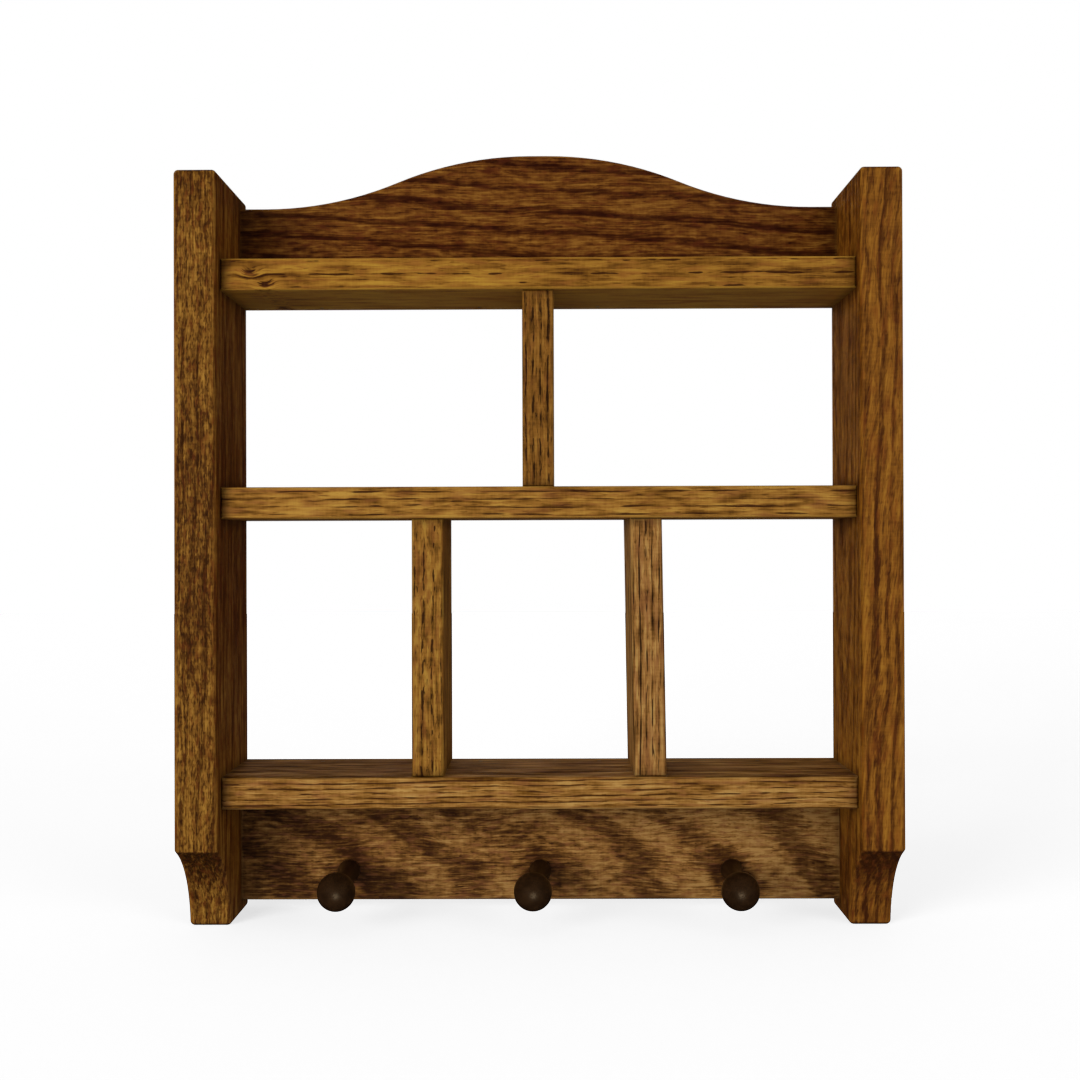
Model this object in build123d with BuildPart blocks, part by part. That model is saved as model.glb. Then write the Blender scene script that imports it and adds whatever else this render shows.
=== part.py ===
from build123d import *
import os
from math import radians, sqrt, tan

# Wall cubby shelf in oak, in millimetres.
# X runs left to right along the wall, Y points into the wall and Z is up.
# The origin is on the wall, midway between the two points that the shelf hangs from,
# so every piece lies at Y <= 0 and the viewer stands at negative Y.

# Boards
inner_width = 300.0  # clear width between the two sides
side_thickness = 20.0
side_depth = 64.0
shelf_thickness = 15.0
shelf_setback = 8.0  # sides' front edges to the shelves' front edges
divider_thickness = 15.0
divider_setback = 1.5  # shelves' front edges to the dividers' front edges
rail_thickness = 13.0
side_edge_round = 2.2  # eased edges of the sides, all but those along the wall
edge_round = 1.5  # eased front edges of the other boards

# Heights. The lower cubbies take what the others leave of the sides' height
side_height = 360.0
foot_gap = 6.4  # feet to the bottom rail's lower edge
bottom_rail_height = 53.5
upper_opening = 93.0
shoulder_height = 34.0  # top rail's height where it meets the sides
crest_rise = 26.2  # crest of the top rail over its shoulders
side_rise = 6.1  # top of the sides over the top rail's shoulders
hanging_rise = 28.5  # hanging points over the top shelf

# Ogee of the top rail
shoulder_run = 13.0  # flat shoulder at each end
crest_flat = 9.0  # flat of the crest

# Cove at the sides' lower front corner
foot_depth = 36.0
cove_height = 41.5
cove_radius = 50.0

# The lower right divider stands a little out of plumb
divider_lean = 1.8  # its top end, towards the left

# Turned pegs. The middle and right ones stand a little askew, as drilled by hand
peg_spacing = 96.0
middle_peg_lean = 4.4  # degrees, its head towards the left
right_peg_lean = 2.0
peg_rise = 14.6  # peg axis over the bottom rail's lower edge
peg_reach = 50.8  # rail's face to the tip of the ball
ball_radius = 9.0
neck_radius = 3.9
neck_run = 14.0  # flare from the collar to the thin part of the neck
neck_blend = 2.0  # hollow between neck and ball
collar_radius = 5.6
collar_length = 1.6
tenon_radius = 4.75
tenon_length = 12.0
tenon_chamfer = 0.6

# Case screws, sunk in the sides below wooden plugs
countersink_angle = 82.0
case_screw_length = 32.0
case_screw_radius = 1.75
case_screw_tip = 5.0
case_head_radius = 3.45
plug_radius = 4.0
plug_depth = 6.0
shank_clearance = 0.1  # radial, where a case screw passes through a side
pilot_clearance = 1.0  # hole left beyond the tip of a screw or brad
shelf_screw_inset = 13.0  # from a shelf's front and back edges
rail_screw_inset = 14.0  # from the bottom rail's upper and lower edges

# Cross recess in a screw's head, as shares of the head's radius
recess_reach = 0.55
recess_slot = 0.2
recess_sink = 0.4

# Brads
brad_length = 32.0
brad_radius = 0.7
brad_tip = 2.0
brad_head_radius = 1.1
brad_head_height = 1.2
divider_brad_inset = 14.0  # from a divider's front edge
divider_brad_spacing = 24.0
rail_brad_spots = (-110.0, -30.0, 30.0, 110.0)  # along each rail

# Keyhole hanger plates, let into the back of the top rail
hanger_spacing = 120.0
plate_width = 16.0
plate_height = 36.0
plate_thickness = 1.6
plate_corner = 3.0
plate_top = 13.0  # upper end of the plate over the hanging point
plate_play = 0.15  # recess around the plate
keyhole_radius = 4.75  # round hole that the wall screw's head enters
keyhole_drop = 10.0  # round hole below the hanging point
slot_radius = 2.4
pocket_margin = 1.0  # pocket around the keyhole, behind the plate
pocket_depth = 7.0
plate_screw_inset = 4.0  # from the plate's ends
plate_screw_length = 9.5
plate_screw_radius = 1.4
plate_screw_tip = 2.5
plate_head_radius = 2.7

# Worked out from the sizes above
inner_half = inner_width / 2
outer_half = inner_half + side_thickness
shelf_depth = side_depth - shelf_setback
divider_depth = shelf_depth - divider_setback
rail_mid_y = -rail_thickness / 2
top_rail_z = -hanging_rise
top_shelf_z = top_rail_z - shelf_thickness
middle_shelf_z = top_shelf_z - upper_opening - shelf_thickness
shoulder_z = top_rail_z + shoulder_height
crest_z = shoulder_z + crest_rise
side_top_z = shoulder_z + side_rise
feet_z = side_top_z - side_height
bottom_rail_z = feet_z + foot_gap
bottom_shelf_z = bottom_rail_z + bottom_rail_height
lower_opening = middle_shelf_z - bottom_shelf_z - shelf_thickness
peg_z = bottom_rail_z + peg_rise
hanger_spots = (-hanger_spacing / 2, hanger_spacing / 2)
lower_divider_x = (inner_width + divider_thickness) / 6  # makes three equal cubbies
screw_in_end_grain = case_screw_length - (side_thickness - plug_depth)
brad_in_end_grain = brad_length - shelf_thickness
divider_brad_front = divider_brad_inset - divider_depth
divider_brad_ys = (divider_brad_front, divider_brad_front + divider_brad_spacing)
plate_centre_z = plate_top - plate_height / 2
plate_screw_rise = plate_height / 2 - plate_screw_inset


def upward(x, y, z):
    """A plane that looks up."""
    return Plane(origin=(x, y, z), x_dir=(1, 0, 0), z_dir=(0, 0, 1))


def downward(x, y, z):
    """A plane that looks down."""
    return Plane(origin=(x, y, z), x_dir=(1, 0, 0), z_dir=(0, 0, -1))


def endward(hand, distance, y, z):
    """A plane that looks away from the middle, left where hand is -1 and right where it is 1."""
    return Plane(origin=(hand * distance, y, z), x_dir=(0, hand, 0), z_dir=(hand, 0, 0))


def wallward(x, z=0.0, depth=0.0):
    """A plane that looks at the wall, from depth in front of it."""
    return Plane(origin=(x, -depth, z), x_dir=(-1, 0, 0), z_dir=(0, 1, 0))


def spots(planes):
    """The places of these planes, for the holes and fasteners that repeat there."""
    return Locations(*[plane.location for plane in planes])


def peg_stance(x, lean):
    """A plane that looks up, its origin where a peg leaves the rail and its Y along the peg."""
    return upward(x, -rail_thickness, peg_z).rotated((0, 0, -lean))


def screw_planes(hand, distance, above=feet_z, below=side_top_z):
    """Where the case screws of one side stand, in the plane at this distance from the middle.

    above and below keep only the screws of one shelf or rail.
    """
    points = [
        (rail_mid_y, bottom_rail_z + rail_screw_inset),
        (rail_mid_y, bottom_shelf_z - rail_screw_inset),
        (rail_mid_y, top_rail_z + shoulder_height / 2),
    ]
    for level in (bottom_shelf_z, middle_shelf_z, top_shelf_z):
        points.append((-shelf_screw_inset, level + shelf_thickness / 2))
        points.append((shelf_screw_inset - shelf_depth, level + shelf_thickness / 2))
    return [endward(hand, distance, y, z) for y, z in points if above < z < below]


def both_ends(above, below):
    """Where the case screws enter the two ends of a shelf or rail."""
    return screw_planes(-1, inner_half, above, below) + screw_planes(1, inner_half, above, below)


def divider_brads(look, x, z):
    """Where the brads enter one end of a divider whose middle is at x."""
    return [look(x, y, z) for y in divider_brad_ys]


def rail_brads(look, z):
    """Where the brads enter one edge of a rail."""
    return [look(x, rail_mid_y, z) for x in rail_brad_spots]


def plate_screw_planes(depth=0.0):
    """Where the screws of the hanger plates stand, at this depth from the wall."""
    rises = (-plate_screw_rise, plate_screw_rise)
    return [wallward(x, plate_centre_z + rise, depth) for x in hanger_spots for rise in rises]


def side(hand):
    """A full-height board with a cove at its lower front corner."""
    with BuildPart() as board:
        with BuildSketch(Plane.YZ.offset(min(hand * inner_half, hand * outer_half))):
            with BuildLine():
                base = Line((0, feet_z), (-foot_depth, feet_z))
                cove = RadiusArc(base @ 1, (-side_depth, feet_z + cove_height), -cove_radius)
                Polyline(cove @ 1, (-side_depth, side_top_z), (0, side_top_z), base @ 0)
            make_face()
        extrude(amount=side_thickness)
        back = board.faces().sort_by(Axis.Y)[-1]
        fillet(board.edges() - back.edges().filter_by(Axis.Z), side_edge_round)
        with spots(screw_planes(hand, outer_half)):
            CounterBoreHole(case_screw_radius + shank_clearance, plug_radius, plug_depth)
        with spots(screw_planes(hand, outer_half - plug_depth)):
            CounterSinkHole(
                case_screw_radius + shank_clearance,
                case_head_radius,
                counter_sink_angle=countersink_angle,
            )
    return board


def shelf(level, brads):
    """A board between the sides, with its front edges eased."""
    with BuildPart() as board:
        with BuildSketch(upward(0, 0, level)):
            Rectangle(inner_width, shelf_depth, align=(Align.CENTER, Align.MAX))
        extrude(amount=shelf_thickness)
        fillet(board.faces().sort_by(Axis.Y)[0].edges(), edge_round)
        with spots(both_ends(level, level + shelf_thickness)):
            Hole(case_screw_radius, screw_in_end_grain + pilot_clearance)
        with spots(brads):
            CounterBoreHole(brad_radius, brad_head_radius, brad_head_height)
    return board


def divider(x, base, height, brads, lean=0.0):
    """An upright between two shelves. Its top end stands lean to the left of its foot."""
    half = divider_thickness / 2
    with BuildPart() as board:
        with BuildSketch(Plane.XZ):
            with BuildLine():
                Polyline(
                    (x - half, base),
                    (x + half, base),
                    (x + half - lean, base + height),
                    (x - half - lean, base + height),
                    close=True,
                )
            make_face()
        extrude(amount=divider_depth)
        fillet(board.faces().sort_by(Axis.Y)[0].edges(), edge_round)
        with spots(brads):
            Hole(brad_radius, brad_in_end_grain + pilot_clearance)
    return board


def top_rail():
    """The back rail with the ogee crest, cut out behind for the hanger plates."""
    ogee_end = inner_half - shoulder_run
    ogee_middle = ((ogee_end + crest_flat / 2) / 2, shoulder_z + crest_rise / 2)
    with BuildPart() as rail:
        with BuildSketch(Plane.XZ):
            with BuildLine():
                shoulder = Line((inner_half, shoulder_z), (ogee_end, shoulder_z))
                hollow = TangentArc(shoulder @ 1, ogee_middle, tangent=shoulder % 1)
                crown = TangentArc(hollow @ 1, (crest_flat / 2, crest_z), tangent=hollow % 1)
                Line(crown @ 1, (0, crest_z))
                mirror(about=Plane.YZ)
                Polyline(
                    (-inner_half, shoulder_z),
                    (-inner_half, top_rail_z),
                    (inner_half, top_rail_z),
                    (inner_half, shoulder_z),
                )
            make_face()
        extrude(amount=rail_thickness)
        front = rail.faces().sort_by(Axis.Y)[0]
        fillet(front.edges().filter_by_position(Axis.Z, shoulder_z, crest_z), edge_round)
        for x in hanger_spots:
            with BuildSketch(wallward(x, plate_centre_z)):
                RectangleRounded(
                    plate_width + 2 * plate_play,
                    plate_height + 2 * plate_play,
                    plate_corner + plate_play,
                )
            extrude(amount=-plate_thickness, mode=Mode.SUBTRACT)
            with BuildSketch(wallward(x, -keyhole_drop / 2, plate_thickness)):
                SlotCenterToCenter(keyhole_drop, 2 * (keyhole_radius + pocket_margin), rotation=90)
            extrude(amount=-pocket_depth, mode=Mode.SUBTRACT)
        with spots(plate_screw_planes(plate_thickness)):
            Hole(plate_screw_radius, plate_screw_length - plate_thickness + pilot_clearance)
        with spots(both_ends(top_rail_z, shoulder_z)):
            Hole(case_screw_radius, screw_in_end_grain + pilot_clearance)
        with spots(rail_brads(downward, top_rail_z)):
            Hole(brad_radius, brad_in_end_grain + pilot_clearance)
    return rail


def bottom_rail(stances):
    """The back rail, bored for pegs with these stances."""
    with BuildPart() as rail:
        with BuildSketch(Plane.XZ):
            with Locations((0, bottom_rail_z)):
                Rectangle(inner_width, bottom_rail_height, align=(Align.CENTER, Align.MIN))
        extrude(amount=rail_thickness)
        front = rail.faces().sort_by(Axis.Y)[0]
        fillet(front.edges().sort_by(Axis.Z)[0], edge_round)
        with spots([Plane(stance.origin, z_dir=stance.y_dir) for stance in stances]):
            Hole(tenon_radius)
        with spots(both_ends(bottom_rail_z, bottom_shelf_z)):
            Hole(case_screw_radius, screw_in_end_grain + pilot_clearance)
        with spots(rail_brads(upward, bottom_shelf_z)):
            Hole(brad_radius, brad_in_end_grain + pilot_clearance)
    return rail


def peg(stance):
    """A turned peg with a ball head, its tenon glued through the bottom rail.

    Its collar meets the rail's face, with one edge only where the peg leans.
    """
    ball_y = ball_radius - peg_reach
    neck_y = ball_y + sqrt(ball_radius**2 - neck_radius**2)
    collar_back = collar_radius * stance.x_dir.Y / stance.x_dir.X
    collar_front = collar_back - collar_length
    with BuildPart() as turning:
        with BuildSketch(stance) as profile:
            with BuildLine():
                axis = Line((0, -peg_reach), (0, tenon_length))
                tenon = Polyline(
                    axis @ 1,
                    (tenon_radius - tenon_chamfer, tenon_length),
                    (tenon_radius, tenon_length - tenon_chamfer),
                    (tenon_radius, collar_back),
                    (collar_radius, collar_back),
                    (collar_radius, collar_front),
                )
                flare = TangentArc((neck_radius, collar_front - neck_run), tenon @ 1, tangent=(0, 1))
                neck = Line(flare @ 0, (neck_radius, neck_y))
                ThreePointArc(neck @ 1, (ball_radius, ball_y), axis @ 0)
            make_face()
            join = profile.vertices().sort_by_distance((neck_radius, neck_y))[0]
            fillet(join, neck_blend)
        revolve(axis=Axis(stance.origin, stance.y_dir))
    return turning


def countersunk_screw(length, radius, tip, head_radius):
    """A screw that points down, with the top of its head at the origin and a cross recess."""
    head_height = (head_radius - radius) / tan(radians(countersink_angle / 2))
    reach = 2 * recess_reach * head_radius
    slot = 2 * recess_slot * head_radius
    with BuildPart() as screw:
        with BuildSketch(Plane.XZ):
            with BuildLine():
                Polyline(
                    (0, 0),
                    (head_radius, 0),
                    (radius, -head_height),
                    (radius, tip - length),
                    (0, -length),
                    close=True,
                )
            make_face()
        revolve(axis=Axis.Z)
        with BuildSketch(Plane.XY):
            Rectangle(reach, slot)
            Rectangle(slot, reach)
        extrude(amount=-recess_sink * head_radius, mode=Mode.SUBTRACT)
    return screw


def brad():
    """A thin nail that points down, with the top of its head at the origin."""
    with BuildPart() as nail:
        with BuildSketch(Plane.XZ):
            with BuildLine():
                Polyline(
                    (0, 0),
                    (brad_head_radius, 0),
                    (brad_head_radius, -brad_head_height),
                    (brad_radius, -brad_head_height),
                    (brad_radius, brad_tip - brad_length),
                    (0, -brad_length),
                    close=True,
                )
            make_face()
        revolve(axis=Axis.Z)
    return nail


def plug():
    """A wooden plug that fills the hole down to a case screw's head."""
    with BuildPart() as pellet:
        with BuildSketch(Plane.XY):
            Circle(plug_radius)
        extrude(amount=-plug_depth)
    return pellet


def hanger_plate(x):
    """A keyhole plate, flush with the back of the top rail."""
    with BuildPart() as plate:
        with BuildSketch(wallward(x)):
            with Locations((0, plate_centre_z)):
                RectangleRounded(plate_width, plate_height, plate_corner)
            with Locations((0, -keyhole_drop)):
                Circle(keyhole_radius, mode=Mode.SUBTRACT)
            with Locations((0, -keyhole_drop / 2)):
                SlotCenterToCenter(keyhole_drop, 2 * slot_radius, rotation=90, mode=Mode.SUBTRACT)
        extrude(amount=-plate_thickness)
        with spots([plane for plane in plate_screw_planes() if plane.origin.X == x]):
            CounterSinkHole(plate_screw_radius, plate_head_radius, counter_sink_angle=countersink_angle)
    return plate


def repeated(piece, planes):
    """Copies of one fastener, each a solid of its own."""
    with BuildPart() as group:
        with spots(planes):
            add(piece.part)
    return group


pegs = {
    "left_peg": peg_stance(-peg_spacing, 0),
    "middle_peg": peg_stance(0, middle_peg_lean),
    "right_peg": peg_stance(peg_spacing, right_peg_lean),
}

# Where the brads enter each shelf, on the face that they are driven from
middle_top = middle_shelf_z + shelf_thickness
bottom_top = bottom_shelf_z + shelf_thickness
lower_right_top_x = lower_divider_x - divider_lean
top_shelf_brads = divider_brads(upward, 0, top_rail_z) + rail_brads(downward, top_shelf_z)
middle_shelf_brads = (
    divider_brads(upward, -lower_divider_x, middle_top)
    + divider_brads(upward, lower_right_top_x, middle_top)
    + divider_brads(downward, 0, middle_shelf_z)
)
bottom_shelf_brads = (
    rail_brads(upward, bottom_top)
    + divider_brads(downward, -lower_divider_x, bottom_shelf_z)
    + divider_brads(downward, lower_divider_x, bottom_shelf_z)
)

# Where the same brads enter the ends of each divider
upper_brads = divider_brads(upward, 0, top_shelf_z) + divider_brads(downward, 0, middle_top)
lower_left_brads = (
    divider_brads(upward, -lower_divider_x, middle_shelf_z)
    + divider_brads(downward, -lower_divider_x, bottom_top)
)
lower_right_brads = (
    divider_brads(upward, lower_right_top_x, middle_shelf_z)
    + divider_brads(downward, lower_divider_x, bottom_top)
)

case_screw = countersunk_screw(case_screw_length, case_screw_radius, case_screw_tip, case_head_radius)
plate_screw = countersunk_screw(plate_screw_length, plate_screw_radius, plate_screw_tip, plate_head_radius)
nail = brad()
pellet = plug()

pieces = {
    "left_side": side(-1),
    "right_side": side(1),
    "top_shelf": shelf(top_shelf_z, top_shelf_brads),
    "middle_shelf": shelf(middle_shelf_z, middle_shelf_brads),
    "bottom_shelf": shelf(bottom_shelf_z, bottom_shelf_brads),
    "upper_divider": divider(0, middle_top, upper_opening, upper_brads),
    "lower_left_divider": divider(-lower_divider_x, bottom_top, lower_opening, lower_left_brads),
    "lower_right_divider": divider(
        lower_divider_x, bottom_top, lower_opening, lower_right_brads, divider_lean
    ),
    "top_rail": top_rail(),
    "bottom_rail": bottom_rail(pegs.values()),
    **{name: peg(stance) for name, stance in pegs.items()},
    "left_side_screws": repeated(case_screw, screw_planes(-1, outer_half - plug_depth)),
    "right_side_screws": repeated(case_screw, screw_planes(1, outer_half - plug_depth)),
    "left_side_plugs": repeated(pellet, screw_planes(-1, outer_half)),
    "right_side_plugs": repeated(pellet, screw_planes(1, outer_half)),
    "top_shelf_brads": repeated(nail, top_shelf_brads),
    "middle_shelf_brads": repeated(nail, middle_shelf_brads),
    "bottom_shelf_brads": repeated(nail, bottom_shelf_brads),
    "left_hanger": hanger_plate(hanger_spots[0]),
    "right_hanger": hanger_plate(hanger_spots[1]),
    "hanger_screws": repeated(plate_screw, plate_screw_planes()),
}

os.makedirs("parts", exist_ok=True)
for name, piece in pieces.items():
    piece.part.label = name
    export_step(piece.part, f"parts/{name}.step")
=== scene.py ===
from math import radians

import bpy
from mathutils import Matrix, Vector


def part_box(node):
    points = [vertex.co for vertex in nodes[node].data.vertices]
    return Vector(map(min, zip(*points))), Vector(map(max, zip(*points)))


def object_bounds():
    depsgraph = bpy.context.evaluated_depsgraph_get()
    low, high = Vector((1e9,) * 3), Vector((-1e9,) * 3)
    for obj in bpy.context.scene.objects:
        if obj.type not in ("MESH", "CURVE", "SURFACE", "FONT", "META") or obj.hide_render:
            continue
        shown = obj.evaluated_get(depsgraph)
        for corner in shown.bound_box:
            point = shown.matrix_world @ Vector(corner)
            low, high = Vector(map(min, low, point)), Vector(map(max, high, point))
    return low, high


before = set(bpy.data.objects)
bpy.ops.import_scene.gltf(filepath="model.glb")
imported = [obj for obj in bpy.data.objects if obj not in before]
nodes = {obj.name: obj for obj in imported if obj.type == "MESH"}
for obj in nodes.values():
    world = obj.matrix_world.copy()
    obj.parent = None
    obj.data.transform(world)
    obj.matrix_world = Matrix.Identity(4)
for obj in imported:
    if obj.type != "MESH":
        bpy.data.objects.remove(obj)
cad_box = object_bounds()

millimetre = 0.001


class Value:
    """A number that varies over a surface. Each operator adds the Math node that it stands for."""

    def __init__(self, finish, socket):
        self.finish = finish
        self.socket = socket

    def math(self, operation, *others):
        return self.finish.node("Math", {"operation": operation}, (self, *others))

    def flipped(self, operation, other):
        return self.finish.node("Math", {"operation": operation}, (other, self))

    def __add__(self, other):
        return self.math("ADD", other)

    def __sub__(self, other):
        return self.math("SUBTRACT", other)

    def __mul__(self, other):
        return self.math("MULTIPLY", other)

    def __truediv__(self, other):
        return self.math("DIVIDE", other)

    def __pow__(self, other):
        return self.math("POWER", other)

    def __rsub__(self, other):
        return self.flipped("SUBTRACT", other)

    __radd__ = __add__
    __rmul__ = __mul__


class Finish:
    """One material, and the few kinds of pattern that the finishes here are made of."""

    def __init__(self, name):
        self.material = bpy.data.materials.new(name)
        self.material.use_nodes = True
        self.tree = self.material.node_tree
        self.tree.nodes.clear()

    def node(self, kind, settings=None, sockets=(), output=0):
        """Adds one node. Its settings come first, then the values or links of its sockets."""
        made = self.tree.nodes.new("ShaderNode" + kind)
        for setting, value in (settings or {}).items():
            setattr(made, setting, value)
        pairs = sockets.items() if isinstance(sockets, dict) else enumerate(sockets)
        for key, value in pairs:
            if isinstance(value, Value):
                self.tree.links.new(value.socket, made.inputs[key])
            else:
                made.inputs[key].default_value = value
        return Value(self, made.outputs[output])

    def vector(self, operation, *inputs, output=0):
        return self.node("VectorMath", {"operation": operation}, inputs, output)

    def place(self):
        """Where a point of the surface is in the row frame, in millimetres."""
        size = Vector((millimetre,) * 3)
        return self.vector("DIVIDE", self.node("TexCoord", output="Object"), size)

    def split(self, vector):
        made = self.node("SeparateXYZ", None, (vector,))
        return [Value(self, made.socket.node.outputs[axis]) for axis in range(3)]

    def joined(self, x, y, z):
        return self.node("CombineXYZ", None, (x, y, z))

    def noise(self, vector, sizes, detail=2.0, roughness=0.5, output="Fac"):
        """A random pattern whose features have these sizes along the vector's three axes."""
        counted = self.vector("DIVIDE", vector, Vector(sizes))
        inputs = {"Vector": counted, "Scale": 1.0, "Detail": detail, "Roughness": roughness}
        return self.node("TexNoise", None, inputs, output)

    def noises(self, vector, sizes, detail=2.0):
        """Three such patterns that have nothing to do with each other."""
        return self.split(self.noise(vector, sizes, detail, output="Color"))

    def ease(self, value, low, high):
        """0 up to low and 1 from high on, with a smooth step between, either way round."""
        inputs = {"Value": value, "From Min": low, "From Max": high}
        return self.node("MapRange", {"interpolation_type": "SMOOTHSTEP"}, inputs)

    def darker(self, shade, value, clear, full, strength):
        """A shade less this strength where a value is at its full level, and unchanged where it is clear."""
        return shade - self.ease(value, clear, full) * strength

    def blend(self, share, first, second):
        """The first colour, with this share of the second."""
        return self.node("Mix", {"data_type": "RGBA"}, {0: share, 6: first, 7: second}, 2)

    def ramp(self, value, *stops):
        """The colour at this value, between stops that each give a position and a colour."""
        made = self.node("ValToRGB", None, (value,))
        elements = made.socket.node.color_ramp.elements
        while len(elements) < len(stops):
            elements.new(0.5)
        for element, (position, colour) in zip(elements, stops):
            element.position = position
            element.color = colour
        return made

    def gap(self, place, box):
        """How far a point is from a box, in millimetres."""
        low, high = (corner / millimetre for corner in box)
        from_middle = self.vector("ABSOLUTE", self.vector("SUBTRACT", place, (low + high) / 2))
        outside = self.vector("MAXIMUM", self.vector("SUBTRACT", from_middle, (high - low) / 2), Vector())
        return self.vector("LENGTH", outside, output="Value")

    def finished(self, sockets, height=None, depth=0.0):
        """Closes the material with its shader. A height gives it a bump this deep, in millimetres."""
        shader = self.node("BsdfPrincipled", None, sockets)
        if height is not None:
            inputs = {"Height": height, "Distance": depth * millimetre, "Strength": 1.0}
            bump = self.node("Bump", None, inputs)
            self.tree.links.new(bump.socket, shader.socket.node.inputs["Normal"])
        out = self.tree.nodes.new("ShaderNodeOutputMaterial")
        self.tree.links.new(shader.socket, out.inputs["Surface"])
        return self.material


def tone(red, green, blue):
    """A stain's colour as a screen shows it, from 0 to 255, made linear."""
    shares = (share / 255 for share in (red, green, blue))
    return (*(((share + 0.055) / 1.055) ** 2.4 if share > 0.04 else share / 12.92 for share in shares), 1)


def swing(pattern):
    """How far a random pattern is above or below its mean, which is 0.5."""
    return pattern - 0.5


def from_spot(x, z, spot, squash=1.0):
    """How far a point is from a spot on the front, given by its x and z. A squash draws it out along x."""
    from_x, from_z = x - spot[0], z - spot[1]
    return (from_x * from_x * squash + from_z * from_z) ** 0.5


def from_joint(wood, place, touching):
    """How far a point of a board is from the nearest of the nodes that touch it."""
    joint = wood.gap(place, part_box(touching[0]))
    for other in touching[1:]:
        joint = joint.math("MINIMUM", wood.gap(place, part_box(other)))
    return joint


def arris(wood, place, box, reach, full=0.2):
    """1 along the edges of a board, fading to 0 at this reach from them, in millimetres."""
    low, high = (corner / millimetre for corner in box)
    inward = wood.vector("MINIMUM", wood.vector("SUBTRACT", place, low), wood.vector("SUBTRACT", high, place))
    near_x, near_y, near_z = (wood.ease(depth, reach, full) for depth in wood.split(inward))
    return near_x * near_y + near_y * near_z + near_z * near_x


def open_wood(wood, along, v, w, pith, lean, ring, phase, band):
    """0 in each year's dense wood. In its open wood, that year's own strength, from 0.7 to 1.2."""
    from_pith_v = v - along * lean[0] - pith[0]
    from_pith_w = w - along * lean[1] - pith[1]
    years = (from_pith_v * from_pith_v + from_pith_w * from_pith_w) ** 0.5 / ring + phase
    season = years.math("FRACT")
    own = wood.node("TexWhiteNoise", {"noise_dimensions": "1D"}, {"W": years.math("FLOOR")})
    full, fading, over = band
    return wood.ease(season, 0.0, full) * wood.ease(season, over, fading) * (own * 0.5 + 0.7)


# The sizes of what all the oak has in common, in millimetres along the grain, across it and into the board.
sway_size = (55, 18, 18)
long_streak_size = (36, 0.8, 1.0)
figure_size = (70, 3.5, 5)
fibre_size = (24, 0.8, 2.6)
knife_mark_size = (1.2, 7, 7)
cloud_size = (60, 15, 15)

# What differs on a board's broad faces, as shares of the same thing on its narrow ones.
less_sway = 0.6
less_patchy = 0.7
less_ticked = 0.8
less_lined = 0.3
more_fibres = 0.6
broad_figure = 0.8

# How far marks reach, in millimetres: wear and a painted highlight from an edge, stain and painted shade from
# a joint, dirt and painted shade in the corners round it, and the grain's way round a knot, with how far it
# turns aside there.
wear_and_highlight_reach = 2.2
joint_reach = 6.0
corner_dirt_and_shade_reach = 16.0
knot_reach, knot_turn = 5.0, 2.2

# Where the coves cut the fronts of the sides back, in millimetres along Z.
cove_top, cove_back = -302, -312

# The most that the patches turn red and the edges turn light with wear and a painted highlight, as shares of
# the other tone.
most_reddened = 0.4
most_wear_and_highlight = 0.35

# The tone of the stain and the painted shade in the joints.
joint_stain_and_shade_tone = tone(38, 14, 3)


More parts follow.
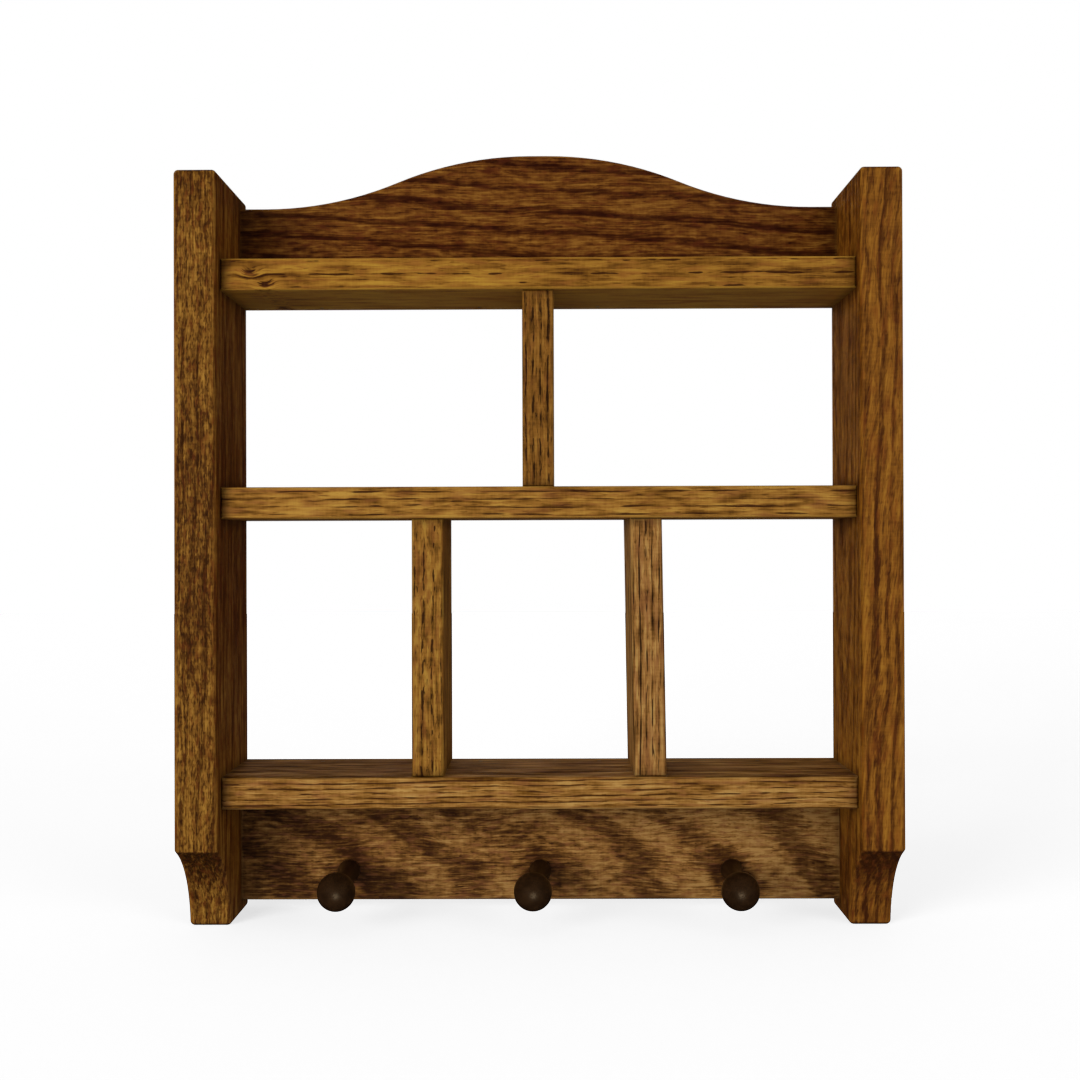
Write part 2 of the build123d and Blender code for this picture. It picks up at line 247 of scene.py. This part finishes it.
def oak(node, *,
        # What each board says for itself.
        touching,                       # the nodes that it meets, where the stain and a painted shade gather
        seed,                           # where along the grain its patterns start, for no two boards match
        light, warm, deep,              # the tones of the stain
        dark,                           # its tone in the pores
        red,                            # its tone in red patches
        level,                          # how light the board is, from 0 for dark to 1 for light
        pith,                           # where the tree's heart is, across the grain and into the board
        ring,                           # a year's width
        streak, ragged,                 # a streak's length and width, and how much streaks break up the rings
        edge,                           # the strengths of the grain from which a line shows and is full
        ticks,                          # how dark the short ticks are
        patch,                          # a patch's length and width
        # What some boards say.
        upright=False,                  # whether the grain runs along Z, not X
        drift=0.0,                      # how much lighter it gets with each millimetre along the grain
        broad_lift=0.0,                 # how much lighter the broad faces are
        broad_red=0.0,                  # the share of red all over the broad faces
        lean=(0.0, 0.0),                # how far the pith moves with each millimetre along the grain
        phase=0.0,                      # a shift of the rings, as a share of a year
        band=(0.05, 0.2, 0.5),          # when in the year the open wood is full, starts to fade and is over
        soft=0.15,                      # how much darker the open wood is all over
        wave=3.0, slant=0.0,            # how far the grain sways, and how steeply it runs aside
        depth=0.9,                      # how dark the lines are
        tick=(3, 0.5), tick_level=0.6,  # a tick's length and width, and how rare ticks are
        patchy=1.2,                     # how strong the patches are
        fibre=1.3,                      # how strong the fibres are
        chatter=0.3,                    # how strong the planer's knife marks are
        cloudy=0.45,                    # how strong the wide clouds are
        stretch=None,                   # the centre and half length of a darker stretch, and how dark it is
        foot_shade=0.0,                 # how much darker the foot of a side is, a painted shade below the cove
        joint_stain_and_shade=0.45,               # how dark the stain and the painted shade at the joints are
        corner_dirt_and_shade=0.0,                       # how dark the dirt and the painted shade in the corners round the joints are
        shaded_bores=(),                       # the x and z of each bore, with painted shade round it where its peg shades the board
        knots=(),                       # the x and z of each small knot, which the grain runs round
        chain=None):                    # the x, raggedness and fade along the grain of a chain of dark dashes
    """Stained oak, solid right through a board. Lengths are in millimetres."""
    wood = Finish(node.replace("_", " ") + " oak")
    place = wood.place()
    x, y, z = wood.split(place)
    facing = wood.split(wood.vector("ABSOLUTE", wood.node("TexCoord", output="Normal")))
    along, across = (z, x) if upright else (x, z)
    end_grain, broad = (facing[2], facing[0]) if upright else (facing[0], facing[2])

    # The grain's own coordinates: v runs across the grain and w into the board, and both sway as it does.
    sway = wood.noises(wood.joined(along + seed, across, y), sway_size, detail=1)
    calm = 1 - broad * less_sway
    v = across - along * slant + swing(sway[0]) * calm * wave
    w = y + swing(sway[1]) * calm * wave
    from_knots = [from_spot(x, z, knot, squash=0.4) for knot in knots]
    for from_knot in from_knots:
        v = v + wood.ease(from_knot, knot_reach, knot_reach / 10) * knot_turn
    grain = wood.joined(along + seed, v, w)

    # Patterns in the wood, each a little deeper into the board than it is wide.
    short = wood.noise(grain, (streak[0], streak[1], streak[1] * 2.5), detail=1.5)
    long = wood.noise(grain, long_streak_size, detail=2, roughness=0.55)
    figure = wood.noise(grain, figure_size, detail=2, roughness=0.6)
    fibres = wood.noise(grain, fibre_size, detail=3, roughness=0.6)
    knife_marks = wood.noise(grain, knife_mark_size, detail=1)
    ray = wood.noise(grain, (tick[0], tick[1], tick[1] * 3), detail=1)
    patches = wood.noises(grain, (patch[0], patch[1], patch[1] * 1.4), detail=2)
    clouds = wood.noises(grain, cloud_size, detail=1)

    # Dark lines and ticks. Long streaks break up the rings on the broad faces, and short ones elsewhere.
    early = open_wood(wood, along, v, w, pith, lean, ring, phase, band)
    lines = wood.ease(early + swing(short + (long - short) * broad) * ragged, *edge)
    rays = wood.ease(ray, tick_level, tick_level + 0.1) * (1 - broad * less_ticked) * ticks

    # How light the wood is, first all over and then in certain places, with ragged outlines.
    shade = swing(fibres) * (broad * more_fibres + 1) * fibre
    shade = shade + swing(patches[0]) * (1 - broad * less_patchy) * patchy
    shade = shade + swing(knife_marks) * chatter + swing(clouds[0]) * cloudy - early * soft - rays
    shade = shade + swing(figure) * broad * broad_figure + broad * broad_lift + along * drift + level
    shade = wood.darker(shade, end_grain, clear=0.35, full=0.8, strength=0.45)
    if stretch:
        centre, half, dimness = stretch
        from_centre = (along - centre).math("ABSOLUTE")
        shade = wood.darker(shade, from_centre, clear=half, full=half / 2, strength=dimness)
    # Painted shade on the foot, below the cove.
    if foot_shade:
        shade = wood.darker(shade, along, clear=cove_top, full=cove_back, strength=foot_shade)
    for from_knot in from_knots:
        rough_edge = swing(patches[2]) * 6 + swing(ray) * 7
        shade = wood.darker(shade, from_knot + rough_edge, clear=2.6, full=0.8, strength=0.7)
    if chain:
        chain_x, unevenness, fade = chain
        from_chain = (v + along * slant - chain_x).math("ABSOLUTE") + swing(short) * unevenness
        strength = wood.ease(along, *fade) * 0.4
        shade = wood.darker(shade, from_chain, clear=1.4, full=0.2, strength=strength)
    # Painted shade round each peg, on the board that it stands from.
    for shaded_bore in shaded_bores:
        rough_edge = swing(patches[2]) * 8
        shade = wood.darker(shade, from_spot(x, z, shaded_bore) + rough_edge, clear=15.0, full=6.0, strength=0.4)

    # Its colour: the stain's tones, the red patches, the lines, the edges lighter with wear and a painted
    # highlight, and the joints darker with stain and painted shade.
    tones = (tone(*stain) for stain in (dark, deep, warm, light))
    colour = wood.ramp(shade, *zip((0.0, 0.34, 0.66, 1.0), tones))
    reddened = wood.ease(patches[1], 0.5, 0.68) * most_reddened + broad * broad_red
    colour = wood.blend(reddened, colour, tone(*red))
    colour = wood.blend(lines * (1 - broad * less_lined) * depth, colour, tone(*dark))
    near_edge = arris(wood, place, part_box(node), wear_and_highlight_reach) + swing(fibres) * 1.5 + swing(clouds[1]) * 2
    wear_and_highlight = wood.ease(near_edge, 0.6, 1.1)
    # The edges lighter: wear, and a painted highlight where the rounded edges catch the light.
    colour = wood.blend(wear_and_highlight * most_wear_and_highlight, colour, tone(*light))
    # Darker towards each joint: stain gathered there, and painted shade where the parts meet.
    joint = from_joint(wood, place, touching)
    stain = wood.ease(joint + swing(ray) * 3, joint_reach, 0.0) * joint_stain_and_shade
    # Dirt and painted shade in the corners round the joints.
    if corner_dirt_and_shade:
        dirt_and_shade = wood.ease(joint + swing(patches[0]) * 14, corner_dirt_and_shade_reach, 0.0) * corner_dirt_and_shade
        stain = stain.math("MAXIMUM", dirt_and_shade)
    colour = wood.blend(stain, colour, joint_stain_and_shade_tone)

    height = fibres * 0.3 - lines * 0.5 - rays * 0.5
    rough = lines * 0.2 + clouds[2] * 0.2 + wear_and_highlight * 0.1 + 0.4
    sockets = {"Base Color": colour, "Roughness": rough, "Specular IOR Level": 0.2}
    return wood.finished(sockets, height, depth=0.22)


def turned_wood(name):
    """Dark stained wood, turned on a lathe, with its grain along Y."""
    wood = Finish(name)
    place = wood.place()
    fibres = wood.noise(place, (0.5, 9, 0.5), detail=2, roughness=0.6)
    clouds = wood.noise(place, (5, 8, 5), detail=2)
    tool_marks = wood.noise(place, (30, 0.35, 30), detail=1)
    colour = wood.blend(wood.ease(fibres, 0.35, 0.65), tone(32, 19, 9), tone(51, 32, 16))
    colour = wood.blend(wood.ease(clouds, 0.45, 0.7) * 0.6, colour, tone(26, 13, 5))
    sockets = {"Base Color": colour, "Roughness": clouds * 0.12 + 0.3,
               "Specular IOR Level": 0.3, "Specular Tint": (1, 0.75, 0.45, 1)}
    return wood.finished(sockets, fibres * 0.5 + tool_marks * 0.3, depth=0.08)


def plug_wood(name):
    """The plugs, cut across the grain and sanded flush, each a little different from its neighbours."""
    wood = Finish(name)
    place = wood.place()
    cell = Vector((500, 11, 11))        # about the size of a plug, right through the rack
    own = wood.node("TexWhiteNoise", None, {"Vector": wood.vector("SNAP", place, cell)})
    fibres = wood.noise(place, (2, 0.5, 7), detail=3, roughness=0.6)
    pores = wood.noise(place, (2, 0.35, 2.5), detail=1)
    colour = wood.blend(own, tone(120, 74, 30), tone(92, 54, 20))
    colour = wood.blend(wood.ease(fibres, 0.4, 0.65) * 0.7, colour, tone(66, 36, 14))
    colour = wood.blend(wood.ease(pores, 0.6, 0.68) * 0.7, colour, tone(30, 15, 8))
    sockets = {"Base Color": colour, "Roughness": fibres * 0.15 + 0.42, "Specular IOR Level": 0.25}
    return wood.finished(sockets, fibres * 0.4 - pores * 0.3, depth=0.1)


def bright_steel(name, colour, mark_size, dullness):
    """Bare or plated steel with fine working marks and a little tarnish."""
    steel = Finish(name)
    place = steel.place()
    marks = steel.noise(place, mark_size, detail=2, roughness=0.6)
    tarnish = steel.noise(place, (4, 4, 4), detail=3, roughness=0.6)
    tarnished, marked = ((*(share * dimmed for share in colour), 1) for dimmed in (0.55, 0.8))
    shade = steel.blend(steel.ease(tarnish, 0.45, 0.7) * 0.6, (*colour, 1), tarnished)
    shade = steel.blend(steel.ease(marks, 0.4, 0.6) * 0.25, shade, marked)
    rough = tarnish * 0.3 + marks * 0.1 + dullness
    return steel.finished({"Base Color": shade, "Roughness": rough, "Metallic": 1.0}, marks, depth=0.02)


def give(names, material):
    for name in names:
        for slot in nodes[name].material_slots:
            slot.material = material


crosspieces = ("top_rail", "top_shelf", "middle_shelf", "bottom_shelf", "bottom_rail")
sides = ("left_side", "right_side")
pegs = ("left_peg", "middle_peg", "right_peg")
plugs = ("left_side_plugs", "right_side_plugs")
fasteners = ("left_side_screws", "right_side_screws",
             "top_shelf_brads", "middle_shelf_brads", "bottom_shelf_brads")
hangers = ("left_hanger", "right_hanger", "hanger_screws")

peg_spacing, peg_height = 96.0, -327.4
# Where the pegs stand from the bottom rail, each with painted shade round it.
peg_shade_spots = [(steps * peg_spacing, peg_height) for steps in (-1, 0, 1)]

boards = {
    "left_side": dict(
        touching=crosspieces, upright=True, seed=11,
        light=(174, 125, 48), warm=(136, 91, 29), deep=(92, 54, 11), dark=(58, 29, 4),
        red=(116, 54, 14), broad_red=0.33, level=0.62, drift=-0.0003,
        pith=(-120, -20), lean=(0.02, 0.02), ring=5.0, wave=5,
        streak=(4.5, 0.9), ragged=3.6, edge=(0.8, 1.2), depth=0.45,
        tick=(2.8, 0.85), ticks=0.32, tick_level=0.5, patch=(5, 1.8), fibre=1.5, cloudy=0.2,
        stretch=(-165, 70, 0.16), foot_shade=0.03, joint_stain_and_shade=0.4),
    "right_side": dict(
        touching=crosspieces, upright=True, seed=23,
        light=(176, 120, 37), warm=(150, 95, 26), deep=(112, 65, 14), dark=(72, 34, 6),
        red=(132, 66, 18), level=0.535, drift=-0.0005, broad_lift=-0.06,
        pith=(120, -20), lean=(-0.05, 0.02), ring=4.6, soft=0.2, wave=6, slant=0.1,
        streak=(6, 1.2), ragged=4.2, edge=(0.75, 1.2), depth=0.5,
        tick=(4, 0.8), ticks=0.22, tick_level=0.55, patch=(10, 2.4), patchy=1.0, fibre=1.1, cloudy=0.3,
        foot_shade=0.2, joint_stain_and_shade=0.4, chain=(157.3, 5.0, (-90, -170))),
    "top_shelf": dict(
        touching=sides, seed=37,
        light=(190, 142, 50), warm=(164, 112, 38), deep=(118, 74, 18), dark=(56, 22, 4),
        red=(154, 90, 38), level=0.58, broad_lift=0.28,
        pith=(-190, -30), ring=6.3, phase=0.39, band=(0.13, 0.14, 0.32), wave=2,
        streak=(10, 2.6), ragged=4.2, edge=(1.0, 1.25), tick=(6, 0.5), ticks=0.3,
        patch=(16, 3.0), patchy=1.4, fibre=0.9, chatter=0.2,
        knots=((-135.5, -35.8), (-129, -41))),
    "middle_shelf": dict(
        touching=sides, seed=51,
        light=(198, 150, 64), warm=(170, 117, 46), deep=(118, 76, 20), dark=(62, 29, 8),
        red=(150, 90, 46), level=0.68, broad_lift=0.05,
        pith=(-290, -60), ring=3.6, phase=0.2, band=(0.2, 0.22, 0.5), wave=2.5,
        streak=(20, 1.3), ragged=4.3, edge=(0.85, 1.15), tick=(6, 0.5), ticks=0.3,
        patch=(14, 3.0), patchy=1.5, fibre=1.2, chatter=0.2),
    "bottom_shelf": dict(
        touching=sides, seed=67,
        light=(202, 156, 84), warm=(172, 121, 56), deep=(122, 79, 22), dark=(70, 36, 10),
        red=(158, 98, 58), level=0.63, drift=0.0004, broad_lift=-0.14,
        pith=(-420, -60), lean=(0.012, 0), ring=2.5, phase=0.1, band=(0.1, 0.25, 0.5), wave=2.5,
        streak=(12, 0.9), ragged=4.3, edge=(0.78, 1.15), tick=(5, 0.5), ticks=0.3,
        patch=(12, 2.6), chatter=0.2),
    "upper_divider": dict(
        touching=("top_shelf", "middle_shelf"), upright=True, seed=83,
        light=(170, 122, 48), warm=(146, 96, 34), deep=(102, 64, 16), dark=(42, 19, 4),
        red=(126, 72, 32), level=0.63,
        pith=(90, -60), ring=3.4, band=(0.1, 0.25, 0.5), wave=2.5,
        streak=(8, 1.2), ragged=4.0, edge=(0.85, 1.1), ticks=0.3, patch=(9, 2.6)),
    "lower_left_divider": dict(
        touching=("middle_shelf", "bottom_shelf"), upright=True, seed=97,
        light=(188, 142, 58), warm=(160, 108, 40), deep=(112, 73, 20), dark=(48, 22, 5),
        red=(140, 80, 36), level=0.64,
        pith=(-150, -60), lean=(0.01, 0), ring=4.6, band=(0.1, 0.2, 0.42),
        streak=(6, 1.3), ragged=4.4, edge=(0.9, 1.15), ticks=0.35, patch=(9, 2.8), patchy=1.5),
    "lower_right_divider": dict(
        touching=("middle_shelf", "bottom_shelf"), upright=True, seed=113,
        light=(200, 156, 86), warm=(172, 120, 60), deep=(118, 77, 30), dark=(42, 19, 4),
        red=(150, 92, 54), level=0.65,
        pith=(-60, -60), ring=2.9, band=(0.1, 0.25, 0.5), wave=2.5,
        streak=(12, 1.2), ragged=4.0, edge=(0.85, 1.15), ticks=0.25, patch=(12, 2.6), patchy=1.4),
    "top_rail": dict(
        touching=("left_side", "right_side", "top_shelf"), seed=131,
        light=(154, 104, 38), warm=(120, 71, 21), deep=(82, 40, 7), dark=(48, 14, 3),
        red=(104, 46, 18), level=0.62,
        pith=(-400, 20), lean=(-0.075, 0), ring=11, phase=0.35, band=(0.12, 0.22, 0.5), soft=0.3, wave=6,
        streak=(24, 2.0), ragged=3.6, edge=(0.7, 1.25), depth=0.55, tick=(4, 0.5), ticks=0.25,
        patch=(7, 2.2), patchy=1.3, fibre=1.5, chatter=0.2, corner_dirt_and_shade=0.6),
    "bottom_rail": dict(
        touching=("left_side", "right_side", "bottom_shelf"), seed=149,
        light=(190, 144, 80), warm=(156, 108, 52), deep=(108, 69, 26), dark=(62, 33, 13),
        red=(150, 92, 56), level=0.65, drift=0.0013,
        pith=(-342, 94), lean=(0, 0.2), ring=9, phase=0.21, band=(0.25, 0.4, 0.75), soft=0.28, wave=8,
        streak=(8, 0.7), ragged=4.2, edge=(0.6, 1.2), depth=0.5, ticks=0.35,
        patch=(6, 1.9), patchy=1.5, fibre=1.6, chatter=0.25, corner_dirt_and_shade=0.3, shaded_bores=peg_shade_spots),
}


def camera():
    """The photo's own view, which fits the corners that were measured in it."""
    data = bpy.data.cameras.new("camera")
    data.sensor_width = 36.0
    data.lens = 45.24
    made = bpy.data.objects.new("camera", data)
    made.location = Vector((4.3, -694.6, -164.4)) * millimetre
    tilt_up, roll, turn_left = radians(0.229), radians(0.182), radians(0.326)
    made.rotation_euler = (radians(90) + tilt_up, roll, turn_left)
    bpy.context.scene.collection.objects.link(made)
    bpy.context.scene.camera = made


def softbox(name, place, aim, size, power, sheen=True, only=None):
    """A soft light, with or without a reflection. It may shine on a few objects only, past all the others."""
    data = bpy.data.lights.new(name, "AREA")
    data.shape = "RECTANGLE"
    data.size, data.size_y = size
    data.energy = power
    made = bpy.data.objects.new(name, data)
    made.location = place
    made.rotation_euler = (Vector(aim) - Vector(place)).to_track_quat("-Z", "Y").to_euler()
    made.visible_glossy = sheen
    bpy.context.scene.collection.objects.link(made)
    if only:
        lit = bpy.data.collections.new(name + " receivers")
        for receiver in only:
            lit.objects.link(receiver)
        made.light_linking.receiver_collection = lit
        made.light_linking.blocker_collection = lit


def lights(ground):
    """Places and sizes are in metres and powers in watts. Most fills leave no reflection on the varnish."""
    middle = (0, 0, -0.17)
    below = (0, 0, -0.35)
    left_board, right_board = ([nodes[side], nodes[side + "_plugs"]] for side in sides)
    softbox("window", (-0.95, -1.3, -0.3), middle, (0.9, 1.6), 29, sheen=False)
    softbox("reflector", (1.1, -1.2, -0.2), middle, (0.9, 1.6), 9, sheen=False)
    softbox("peg glint", (0.05, -1.3, -0.6), middle, (0.5, 0.5), 6, only=[nodes[peg] for peg in pegs])
    softbox("back fill", (-0.2, 1.4, 0.3), middle, (0.8, 1.2), 8, sheen=False, only=nodes.values())
    softbox("top fill", (0, 0.05, 1.4), middle, (0.8, 0.5), 5, sheen=False, only=nodes.values())
    softbox("plate glint", (0, 1.4, 0.2), middle, (1.2, 1.2), 5, only=[nodes[node] for node in hangers])
    softbox("left fill", (-1.5, 0.1, 0.1), middle, (1, 1), 6, sheen=False, only=left_board)
    softbox("right fill", (1.5, 0.1, 0.1), middle, (1, 1), 9, sheen=False, only=right_board)
    softbox("floor wash", (0, -0.3, 1.6), below, (1.5, 1.5), 28, only=[ground])


def surroundings():
    """White to the eye, dim as light, and dimmer still in reflections, as in a darkened studio."""
    world = bpy.data.worlds.new("studio")
    world.use_nodes = True
    tree = world.node_tree
    tree.nodes.clear()

    def sky(strength):
        made = tree.nodes.new("ShaderNodeBackground")
        made.inputs["Strength"].default_value = strength
        made.inputs["Color"].default_value = (1, 1, 1, 1)
        return made

    path = tree.nodes.new("ShaderNodeLightPath")
    in_reflections, as_light, to_the_eye = 0.004, 0.16, 1.0
    seen = sky(in_reflections)
    for ray, strength in (("Is Diffuse Ray", as_light), ("Is Camera Ray", to_the_eye)):
        mix = tree.nodes.new("ShaderNodeMixShader")
        tree.links.new(path.outputs[ray], mix.inputs[0])
        tree.links.new(seen.outputs[0], mix.inputs[1])
        tree.links.new(sky(strength).outputs[0], mix.inputs[2])
        seen = mix
    out = tree.nodes.new("ShaderNodeOutputWorld")
    tree.links.new(seen.outputs[0], out.inputs[0])
    bpy.context.scene.world = world


def floor():
    """Pale paper that shows only the shadow, and stays out of the varnish's reflections."""
    underside = cad_box[0].z
    bpy.ops.mesh.primitive_plane_add(size=6, location=(0, 0, underside))
    made = bpy.context.object
    made.name = "floor"
    made.is_shadow_catcher = True
    made.visible_glossy = False
    paper = Finish("pale floor")
    made.data.materials.append(paper.finished({"Base Color": (0.3, 0.3, 0.3, 1), "Roughness": 0.8}))
    return made


for node, board in boards.items():
    give([node], oak(node, **board))
for peg in pegs:
    give([peg], turned_wood(peg.replace("_", " ") + " wood"))
give(plugs, plug_wood("plug oak"))
give(fasteners, bright_steel("plain steel", (0.42, 0.41, 0.39), mark_size=(0.3, 0.3, 2.0), dullness=0.22))
give(hangers, bright_steel("zinc plate", (0.6, 0.62, 0.62), mark_size=(3.0, 3.0, 3.0), dullness=0.3))

camera()
surroundings()
lights(floor())
bpy.context.scene.view_settings.view_transform = "Standard"
